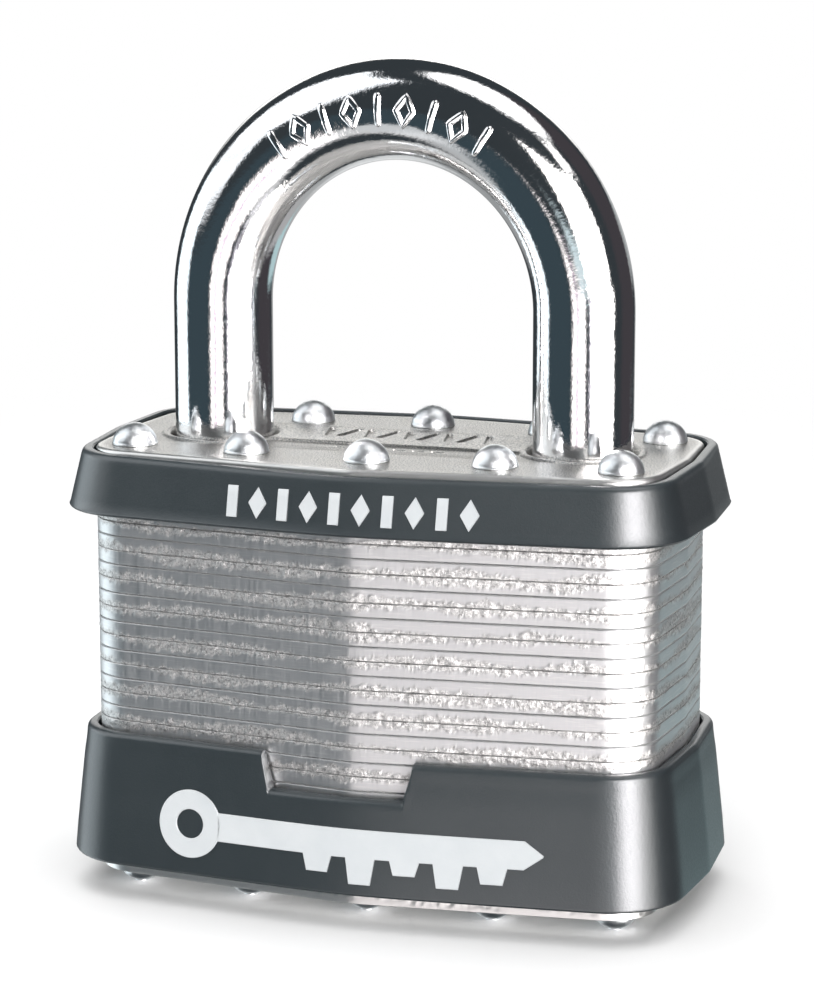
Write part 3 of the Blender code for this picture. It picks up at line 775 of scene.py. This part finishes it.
def raised_grid(shell, wall, columns, height, closed=False):
    """A raised shape on a bumper's front, from columns of an upper and a lower point as X and depth."""
    rounding, sunk = 0.07, -0.06
    rows = []
    for share, lift in ((0, sunk), (0, height * 0.6), (rounding, height), (0.25, height), (0.5, height),
                        (0.75, height), (1 - rounding, height), (1, height * 0.6), (1, sunk)):
        row = []
        for (ax, ad), (bx, bd) in columns:
            length = ((bx - ax) ** 2 + (bd - ad) ** 2) ** 0.5
            along = share
            if share in (rounding, 1 - rounding):
                near = min(rounding, length / 3) / length
                along = near if share == rounding else 1 - near
            row.append(front_wall(wall, ax + (bx - ax) * along, ad + (bd - ad) * along, lift))
        rows.append(shell.loop(row))
    for upper, lower in zip(rows, rows[1:]):
        shell.strip(lower, upper, closed)
    if not closed:
        shell.faces.append(tuple(row[0] for row in rows))
        shell.faces.append(tuple(row[-1] for row in reversed(rows)))


def upright_columns(profile, spacing=0.2):
    """Columns from left to right through a profile of X, top depth and bottom depth."""
    columns = []
    for (x0, top0, low0), (x1, top1, low1) in zip(profile, profile[1:]):
        steps = max(1, round((x1 - x0) / spacing))
        for i in range(steps):
            t = i / steps
            x = x0 + (x1 - x0) * t
            columns.append(((x, top0 + (top1 - top0) * t), (x, low0 + (low1 - low0) * t)))
    x, top, low = profile[-1]
    columns.append(((x, top), (x, low)))
    return columns


def make_upper_mark():
    """A row of white bars and diamonds across the upper bumper."""
    shell = Shell()
    top, bottom = 1.75, 4.3
    middle = (top + bottom) / 2
    tip = (middle - 0.06, middle + 0.06)
    diamond_half, bar_half = 0.78, 0.46
    for i in range(10):
        x = -9.9 + 2.28 * i
        if i % 2:
            profile = [(x - diamond_half, *tip), (x, top, bottom), (x + diamond_half, *tip)]
        else:
            profile = [(x - bar_half, top, bottom), (x + bar_half, top, bottom)]
        raised_grid(shell, UPPER_WALL, upright_columns(profile), 0.12)
    shell.piece("upper_bumper_marks", "lock_body", "bumper_plastic", finish=MARK_WHITE)


def make_lower_mark():
    """A white key across the lower bumper, as a plain sign for a lock: a ring, a blade and square cuts."""
    shell = Shell()
    middle, half, height = 31.3, 1.2, 0.14
    bow_x, bow_radius, hole = -14.2, 2.9, 1.25
    ring = []
    for i in range(72):
        across, down = cos(-2 * pi * i / 72), sin(-2 * pi * i / 72)
        rim = (bow_x + bow_radius * across, middle + bow_radius * down)
        ring.append((rim, (bow_x + hole * across, middle + hole * down)))
    raised_grid(shell, LOWER_WALL, ring, height, closed=True)
    top, low = middle - half, middle + half
    profile = [(bow_x + bow_radius - 0.25, top, low)]
    for x, drop in ((-3.6, 1.4), (0.2, 2.2), (4.0, 1.2), (7.7, 2.0), (11.4, 1.4)):
        tooth = low + drop
        profile += [(x, top, low), (x + 0.35, top, tooth), (x + 2.2, top, tooth), (x + 2.55, top, low)]
    profile += [(15.3, top, low), (16.9, middle - 0.08, middle + 0.08)]
    raised_grid(shell, LOWER_WALL, upright_columns(profile), height)
    shell.piece("lower_bumper_key_mark", "lock_body", "bumper_plastic", finish=MARK_WHITE)


# ---------------------------------------------------------------- shackle

def bar_centre(angle):
    """A point of the arch's centre line and its outward direction, at an angle in degrees from +X."""
    a = radians(angle)
    point = (LEG_X * cos(a), ARCH_START + ARCH_HEIGHT * sin(a))
    out = Vector((ARCH_HEIGHT * cos(a), LEG_X * sin(a))).normalized()
    return point, out


def bar_row(shell, centre, out, radius, notch_side=0):
    """One ring of the bar. A notch side flattens the ring's inner side to the notch's floor."""
    row = []
    for i in range(BAR_SIDES):
        turn = 2 * pi * i / BAR_SIDES
        across = radius * cos(turn)
        x, z = centre[0] + across * out[0], centre[1] + across * out[1]
        if notch_side:
            x = notch_side * max(abs(x), NOTCH_FLOOR)
        row.append((x, radius * sin(turn), z))
    return shell.loop(row)


def leg_rows(shell, side, rings):
    """Rings down a leg, as tuples of depth, radius and whether the lever notch is there."""
    made = []
    for depth, radius, notched in rings:
        centre = (side * LEG_X, STACK_TOP - depth)
        made.append(bar_row(shell, centre, (side, 0), radius, side if notched else 0))
    return made


def make_shackle():
    """The chromed bar: toe, arch and heel, with the levers' notches and the heel's neck."""
    shell = Shell()
    r = BAR_RADIUS
    notch_a, notch_b = NOTCH_DEPTHS
    notch = [(notch_a - 0.15, r, False), (notch_a, r, False), (notch_a + 0.02, r, True),
             (notch_b - 0.02, r, True), (notch_b, r, False), (notch_b + 0.15, r, False)]
    start = STACK_TOP - ARCH_START
    down = [(start * (1 - i / 6), r, False) for i in range(1, 6)]
    tip = STACK_TOP - TOE_TIP
    turns = [pi / 2 * i / 5 for i in range(6)]
    toe_end = [(tip - 0.8 + 0.8 * sin(a), r - 0.8 * (1 - cos(a)), False) for a in turns]
    neck_a, neck_b = NECK_DEPTHS
    heel_tip = STACK_TOP - size("shackle")[0].z
    turns = [pi / 2 * i / 4 for i in range(5)]
    fillet = [(0.5 * (1 - cos(a)), r - (r - NECK_RADIUS) * sin(a) ** 2) for a in turns]
    neck = [(neck_a + d, radius, False) for d, radius in fillet]
    neck += [(neck_b - d, radius, False) for d, radius in reversed(fillet)]
    heel_end = [(heel_tip - 0.3, r, False), (heel_tip, r - 0.3, False)]
    toe = leg_rows(shell, -1, down + notch + toe_end)
    heel = leg_rows(shell, 1, down + notch + neck + heel_end)
    arch = []
    for i in range(97):
        angle = 180 * i / 96
        point, out = bar_centre(angle)
        arch.append(bar_row(shell, point, out, r))
    rows = heel[::-1] + arch + toe
    for lower, upper in zip(rows, rows[1:]):
        shell.strip(lower, upper)
    shell.faces.append(tuple(rows[0][::-1]))
    shell.faces.append(tuple(rows[-1]))
    shell.piece("shackle_chromed", "shackle", "shackle_chrome", ["shackle"], smooth=30)


def make_pin_spring(number):
    """The CAD's coil as a piece of its own, fixed to the lock body."""
    name = f"pin_spring_{number}"
    coil = frame["nodes"][name]
    mesh = coil.data.copy()
    mesh.transform(coil.matrix_world)
    mesh.materials.clear()
    mesh.materials.append(FINISHES["spring_steel"])
    made = bpy.data.objects.new(f"{name}_coil", mesh)
    bpy.context.scene.collection.objects.link(made)
    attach(made, "lock_body")
    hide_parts(name)
    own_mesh(made)


def on_crown(across, along, lift, middle):
    """The point of the crown's front that lies so far across and along from an angle of the arch."""
    point, out = bar_centre(middle - degrees(across / (LEG_X + 2.2)))
    turn = (along + 0.2) / BAR_RADIUS
    reach = BAR_RADIUS + lift
    side = reach * sin(turn)
    return point[0] + out[0] * side, -reach * cos(turn), point[1] + out[1] * side


def stroke(shell, path, closed, half, height, middle):
    """A raised, rounded stroke along a path of pairs across and along, on the shackle's crown."""
    count = len(path)
    rows = []
    for i, here in enumerate(path):
        before = path[i - 1] if closed or i else here
        after = path[(i + 1) % count] if closed or i < count - 1 else here
        run = (Vector(after) - Vector(before)).normalized()
        aside = Vector((-run.y, run.x))
        ends = min(i, count - 1 - i) if not closed else 3
        width = half * (0.25, 0.75, 0.96, 1.0)[min(ends, 3)]
        row = []
        for step in range(9):
            angle = pi * step / 8
            spot = Vector(here) + aside * width * cos(angle)
            lift = height * (width / half) * sin(angle) - 0.04
            row.append(on_crown(spot.x, spot.y, lift, middle))
        rows.append(shell.loop(row))
    pairs = list(zip(rows, rows[1:] + rows[:1])) if closed else list(zip(rows, rows[1:]))
    for one, other in pairs:
        shell.strip(other, one, closed=False)
    if not closed:
        shell.faces.append(tuple(rows[0]))
        shell.faces.append(tuple(reversed(rows[-1])))


def make_shackle_marks():
    """Raised bars and diamonds across the front of the shackle's crown."""
    shell = Shell()
    half, height, tall = 0.36, 0.3, 1.25
    for i in range(9):
        middle = 125.5 - 8.3 * i
        if i % 2:
            corners = [Vector((0.85, 0)), Vector((0, tall)), Vector((-0.85, 0)), Vector((0, -tall))]
            sides = zip(corners, corners[1:] + corners[:1])
            path = [tuple(a.lerp(b, t / 6)) for a, b in sides for t in range(6)]
            stroke(shell, path, True, half * 0.85, height, middle)
        else:
            reach = tall + half * 0.6
            ends = (0, 0.1, 0.3, 0.55)
            lengths = [-reach + e for e in ends]
            lengths += [-reach + 0.9 + (2 * reach - 1.8) * t / 5 for t in range(6)]
            lengths += [reach - e for e in reversed(ends)]
            stroke(shell, [(0, along) for along in lengths], False, half, height, middle)
    shell.piece("shackle_marks", "shackle", "shackle_chrome", smooth=50)


# ---------------------------------------------------------------- the studio

def added(tree, first, second):
    return add_node(tree, "ShaderNodeVectorMath", {0: first, 1: second}).outputs[0]


def stepped(tree, height, elevation, fade, below, above):
    """One value below an elevation in degrees and another above it, for the Z of a direction."""
    low, high = sin(radians(elevation - fade)), sin(radians(elevation + fade))
    return graded(tree, height, low, high, below, above, smooth=True)


def studio_world():
    """White to the camera. What the metal reflects is dark, with soft windows at a few bearings."""
    world = bpy.data.worlds.new("studio")
    bpy.context.scene.world = world
    world.use_nodes = True
    tree = world.node_tree
    tree.nodes.clear()
    direction = add_node(tree, "ShaderNodeTexCoord").outputs["Generated"]
    parts = add_node(tree, "ShaderNodeSeparateXYZ", {0: direction}).outputs
    front = combined(tree, "MULTIPLY", parts["Y"], -1.0)
    bearing = combined(tree, "ARCTAN2", parts["X"], front)
    total = None
    for centre, half, soft, low, high, fade, strength, colour in WINDOWS:
        apart = combined(tree, "SUBTRACT", bearing, radians(centre))
        turned_in = add_node(tree, "ShaderNodeMath", {0: apart, 1: pi, 2: -pi}, operation="WRAP").outputs[0]
        away = combined(tree, "ABSOLUTE", turned_in, 0.0)
        lit = graded(tree, away, radians(half - soft), radians(half + soft), strength, 0.0, smooth=True)
        lit = combined(tree, "MULTIPLY", lit, stepped(tree, parts["Z"], low, fade, 0.0, 1.0))
        lit = combined(tree, "MULTIPLY", lit, stepped(tree, parts["Z"], high, fade, 1.0, 0.0))
        scaled = {0: colour, "Scale": lit}
        tint = add_node(tree, "ShaderNodeVectorMath", scaled, operation="SCALE").outputs[0]
        total = tint if total is None else added(tree, total, tint)
    towards = add_node(tree, "ShaderNodeVectorMath", {0: direction, 1: OVERHEAD}, operation="DOT_PRODUCT")
    far = cos(radians(OVERHEAD_HALF + OVERHEAD_FADE))
    near = cos(radians(OVERHEAD_HALF - OVERHEAD_FADE))
    disc = graded(tree, towards.outputs["Value"], far, near, 0.0, OVERHEAD_STRENGTH)
    glow = add_node(tree, "ShaderNodeCombineXYZ", {"X": disc, "Y": disc, "Z": disc}).outputs[0]
    seen = added(tree, total, added(tree, glow, DARK))
    studio = add_node(tree, "ShaderNodeBackground", {"Color": seen, "Strength": 1.0}).outputs[0]
    plain = add_node(tree, "ShaderNodeBackground", {"Color": (*WHITE, 1.0), "Strength": 1.0}).outputs[0]
    camera_ray = add_node(tree, "ShaderNodeLightPath").outputs["Is Camera Ray"]
    mix = add_node(tree, "ShaderNodeMixShader", {0: camera_ray, 1: studio, 2: plain}).outputs[0]
    out = tree.nodes.new("ShaderNodeOutputWorld")
    tree.links.new(mix, out.inputs["Surface"])
    world.cycles_visibility.diffuse = False


# Each window: the bearing of its middle from the front towards +X, its half width and softness, its lowest
# and highest elevation and their softness, all in degrees, then its strength and colour. Bars are negative.
WINDOWS = (
    (-94, 22, 3, -50, 16, 3, 1.5, (0.88, 0.98, 1.03)),
    (-79, 30, 3, 8, 24, 4, 1.2, (0.96, 0.99, 1.02)),
    (-72, 37, 2, 24, 66, 2, 1.3, (0.96, 0.99, 1.02)),
    (4, 15, 2.5, -45, -3, 3, 1.5, (1.02, 0.965, 0.955)),
    (0.5, 1.2, 0.8, -45, -3, 3, -1.1, (0.9, 1.0, 0.8)),
    (29, 1.6, 1.2, -45, -3, 3, 0.7, (0.95, 0.9, 1.0)),
    (-42, 28, 6, -45, 2, 4, 0.02, (0.3, 1.0, 1.4)),
    (17, 10, 6, -3, 7, 4, 0.8, (0.84, 1.0, 1.04)),
    (61, 25, 2.5, -55, 0, 2, 4.0, (1.0, 0.98, 0.96)),
    (53, 28, 2.5, 0, 38, 2, 4.0, (1.0, 0.98, 0.96)),
    (49, 15, 5, -20, 30, 8, 10.5, (1.0, 0.97, 1.0)),
    (84, 12, 3, 40, 53, 2, 1.6, (1.0, 0.98, 0.97)),
    (135, 26, 8, -60, 60, 10, 0.02, (1.0, 0.35, 0.4)),
    (168, 11, 3, -3, 8, 2, 0.3, (0.95, 1.0, 1.0)),
    (160, 14, 4, -28, -12, 3, 0.6, (0.68, 0.97, 1.0)),
    (-162, 20, 6, 6, 22, 4, 1.9, (1.0, 0.99, 0.97)),
    (-170, 16, 6, -30, 6, 4, 0.35, (1.0, 1.0, 1.0)),
    (15, 55, 8, -50, -30, 3, 0.58, (1.0, 1.0, 1.0)),
    (-60, 25, 8, -50, -36, 4, 0.45, (1.0, 1.0, 1.0)),
    (150, 70, 8, -50, -28, 3, 0.38, (0.98, 1.0, 1.0)),
    (-135, 40, 8, -50, -16, 4, 0.3, (0.98, 1.0, 1.0)),
    (0, 200, 8, -90, -50, 3, 0.62, (1.0, 1.0, 1.0)),
)
# A round light overhead: the direction to it, its half angle and softness in degrees, and its strength
OVERHEAD = (0.24, 0.12, 0.96)
OVERHEAD_HALF = 22
OVERHEAD_FADE = 2
OVERHEAD_STRENGTH = 1.6
# What the metal reflects everywhere else
DARK = (0.035, 0.043, 0.049)


FLOOR_RADIUS = 300.0
FLOOR_COLOUR = (0.83, 0.83, 0.83, 1.0)


def make_floor():
    """A pale disc under the lock that fades into the white all round."""
    shell = Shell()
    rim = shell.loop((x, y, 0) for x, y in circle((0, 0), FLOOR_RADIUS, 96))
    shell.faces.append(tuple(rim))
    mesh = bpy.data.meshes.new("floor")
    mesh.from_pydata([Vector(point) * MM for point in shell.points], [], shell.faces)
    floor = bpy.data.objects.new("floor", mesh)
    bpy.context.scene.collection.objects.link(floor)
    made, tree, shader = new_material("floor", 0.0, Roughness=0.9, Base_Color=FLOOR_COLOUR)
    place = place_texture(tree)
    away = add_node(tree, "ShaderNodeVectorMath", {0: place}, operation="LENGTH").outputs["Value"]
    gone = graded(tree, away, FLOOR_RADIUS * 0.3, FLOOR_RADIUS * 0.95, 0.0, 1.0, smooth=True)
    clear = add_node(tree, "ShaderNodeBsdfTransparent").outputs[0]
    mix = add_node(tree, "ShaderNodeMixShader", {0: gone, 1: shader.outputs[0], 2: clear}).outputs[0]
    tree.links.new(mix, tree.nodes["Material Output"].inputs["Surface"])
    mesh.materials.append(made)
    floor.visible_glossy = False


# Each light: its bearing from the front and its elevation in degrees, its distance and width in metres, and
# its power in watts
LIGHTS = (
    ("key", -140, 66, 0.7, 0.5, 0.4),
    ("overhead", 0, 89, 0.7, 1.2, 11.0),
    ("front_fill", 5, 22, 0.9, 0.6, 6.0),
)


def add_light(name, bearing, elevation, distance, width, power):
    """A soft square light that looks at the lock and shows in no reflection."""
    data = bpy.data.lights.new(name, "AREA")
    data.size = width
    data.energy = power
    light = bpy.data.objects.new(name, data)
    bpy.context.scene.collection.objects.link(light)
    a, e = radians(bearing), radians(elevation)
    back = Vector((sin(a) * cos(e), -cos(a) * cos(e), sin(e)))
    light.location = Vector((0, 0, STACK_TOP / 2 * MM)) + back * distance
    light.rotation_euler = back.to_track_quat("Z", "Y").to_euler()
    light.visible_glossy = False
    light.visible_camera = False


CAMERA_LENS = 114.66
CAMERA_PLACE = (85.19, -257.07, 86.79)
CAMERA_DOWN = 11.12
CAMERA_BEARING = 18.22


def make_camera():
    """A camera that looks down at the lock from the front right. Its angles are in degrees."""
    data = bpy.data.cameras.new("camera")
    data.lens = CAMERA_LENS
    camera = bpy.data.objects.new("camera", data)
    bpy.context.scene.collection.objects.link(camera)
    camera.location = Vector(CAMERA_PLACE) * MM
    camera.rotation_euler = (radians(90 - CAMERA_DOWN), 0, radians(CAMERA_BEARING))
    bpy.context.scene.camera = camera


# ---------------------------------------------------------------- the build

for number, node in enumerate(VISIBLE_PLATES, 5):
    make_plate(node, number, "plate_steel")
make_plate("bottom_plate", 30, "end_plate_zinc")
make_top_plate()
for row in ("front", "back"):
    for i in range(1, 6):
        make_rivet(f"rivet_{row}_{i}")
make_bumper("upper_bumper", "upper_bumper_moulded", UPPER_WALL, rim_drop)
make_bumper("lower_bumper", "lower_bumper_moulded", LOWER_WALL, gap_drop)
make_upper_mark()
make_lower_mark()
make_shackle()
make_shackle_marks()

for number in range(1, 5):
    make_pin_spring(number)

slot_of = {part["node"]: part["material_slot"] for part in frame["record"]["subparts"]}
for name, node in frame["nodes"].items():
    if not node.hide_render:
        node.data.materials.clear()
        node.data.materials.append(FINISHES[slot_of[name]])

studio_world()
make_floor()
for light in LIGHTS:
    add_light(*light)
make_camera()
bpy.context.scene.view_settings.view_transform = "Standard"
